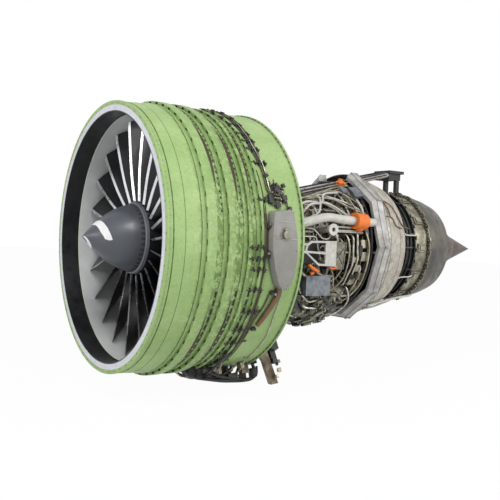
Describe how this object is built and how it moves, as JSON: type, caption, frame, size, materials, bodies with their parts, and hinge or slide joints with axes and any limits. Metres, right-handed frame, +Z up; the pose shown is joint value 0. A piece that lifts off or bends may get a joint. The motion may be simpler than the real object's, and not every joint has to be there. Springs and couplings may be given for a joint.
{
  "type": "turbofan engine",
  "caption": "Large two-spool turbofan engine with its nacelle off: fan, green fan case, dressed core, turbine and exhaust plug.",
  "frame": {"origin": "centre of the fan case's front face, on the engine's axis", "axes": "+X aft along the engine's axis, +Z up towards the aircraft's mounts, -Y the side with the oil tank"},
  "size_m": [7.28, 3.6523, 3.645],
  "materials": {
    "cast_metal": "cast, oily",
    "dark_steel": "satin black",
    "bright_metal": "polished",
    "bearing_steel": "ground",
    "edge_metal": "polished",
    "blade_black": "smooth composite",
    "pale_metal": "satin",
    "rotor_metal": "machined",
    "bolt_steel": "dull",
    "core_metal": "dull, used",
    "heat_metal": "heat tinted",
    "mast_black": "matte",
    "duct_grey": "matte",
    "sleeve_orange": "matte",
    "frame_white": "satin",
    "plug_metal": "heat tinted",
    "sleeve_metal": "heat tinted",
    "case_green": "satin primer",
    "frame_metal": "satin",
    "shroud_grey": "matte",
    "pipe_metal": "satin",
    "shaft_steel": "ground",
    "unit_grey": "satin",
    "clamp_black": "matte",
    "harness_brown": "matte",
    "band_black": "dark, oxidised",
    "liner_black": "perforated, dark",
    "mouth_white": "satin",
    "cap_metal": "satin",
    "cooler_grey": "cast",
    "tank_grey": "satin",
    "vane_grey": "satin",
    "spinner_dark": "satin",
    "spinner_ring_grey": "satin",
    "link_pale": "satin",
    "cowl_beige": "dull, spotted",
    "frame_cream": "dull"
  },
  "bodies": {
    "engine_static": {"accessory_gearbox": "cast_metal", "aft_mount": "dark_steel", "air_manifold": "bright_metal", "bearing_outer_rings": "bearing_steel", "bleed_duct": "pale_metal", "case_bolts": "bolt_steel", "combustor_case": "core_metal", "combustor_liner": "heat_metal", "compressor_case": "core_metal", "compressor_stators": "rotor_metal", "cooling_tubes": "bright_metal", "drain_mast": "mast_black", "duct_liners": "duct_grey", "duct_sleeve": "sleeve_orange", "equipment_frame": "frame_white", "exhaust_plug": "plug_metal", "exhaust_sleeve": "sleeve_metal", "fan_case_front": "case_green", "fan_case_rear": "case_green", "fan_frame": "frame_metal", "fan_shroud": "shroud_grey", "front_mount": "dark_steel", "fuel_manifold": "pipe_metal", "fuel_pump": "cast_metal", "generator": "unit_grey", "harness_clamps": "clamp_black", "harness_tubes": "harness_brown", "high_pressure_turbine_case": "core_metal", "lp_turbine_case": "band_black", "mouth_liner": "liner_black", "mouth_ring": "mouth_white", "oil_cooler": "cooler_grey", "oil_tank": "tank_grey", "outlet_guide_vanes": "vane_grey", "service_unit": "unit_grey", "splitter": "vane_grey", "starter": "unit_grey", "stiffener_rings": "case_green", "thrust_links": "link_pale", "transfer_gearbox": "cast_metal", "turbine_cowl": "cowl_beige", "turbine_rear_frame": "frame_cream", "turbine_stators": "heat_metal"},
    "low_pressure_spool": {"spinner": "spinner_dark", "spinner_ring": "spinner_ring_grey", "fan_disk": "rotor_metal", "fan_blades": "blade_black", "blade_edge_guards": "edge_metal", "blade_platforms": "blade_black", "booster_rotor": "rotor_metal", "lp_shaft": "shaft_steel", "lp_turbine_rotor": "heat_metal", "lp_bearing_rollers": "bearing_steel"},
    "high_pressure_spool": {"compressor_rotor": "rotor_metal", "high_pressure_turbine_rotor": "heat_metal", "high_pressure_bearing_rollers": "bearing_steel"},
    "radial_shaft": {"radial_drive_shaft": "shaft_steel"},
    "drive_shaft": {"gearbox_drive_shaft": "shaft_steel"},
    "vane_control": {"unison_rings": "pipe_metal"},
    "filler_cap": {"oil_cap": "cap_metal"}
  },
  "joints": [
    {"name": "low_pressure_spin", "type": "hinge", "parent": "engine_static", "child": "low_pressure_spool", "pos_m": [0, 0, 0], "axis": [1, 0, 0], "continuous": true},
    {"name": "high_pressure_spin", "type": "hinge", "parent": "engine_static", "child": "high_pressure_spool", "pos_m": [2.4, 0, 0], "axis": [1, 0, 0], "continuous": true},
    {"name": "radial_shaft_spin", "type": "hinge", "parent": "engine_static", "child": "radial_shaft", "pos_m": [2.268, 0, -0.5], "axis": [0, 0, 1], "continuous": true},
    {"name": "drive_shaft_spin", "type": "hinge", "parent": "engine_static", "child": "drive_shaft", "pos_m": [2.4, 0, -0.88], "axis": [1, 0, 0], "continuous": true},
    {"name": "vane_control_turn", "type": "hinge", "parent": "engine_static", "child": "vane_control", "pos_m": [2.45, 0, 0], "axis": [1, 0, 0], "range_deg": [0, 9]},
    {"name": "filler_cap_hinge", "type": "hinge", "parent": "engine_static", "child": "filler_cap", "pos_m": [1.46, -1.86141, 0.184], "axis": [-1, 0, 0], "range_deg": [0, 100]}
  ],
  "couplings": [
    {"joint": "radial_shaft_spin", "follows": "high_pressure_spin", "ratio": 1.2},
    {"joint": "drive_shaft_spin", "follows": "high_pressure_spin", "ratio": 1.2}
  ]
}
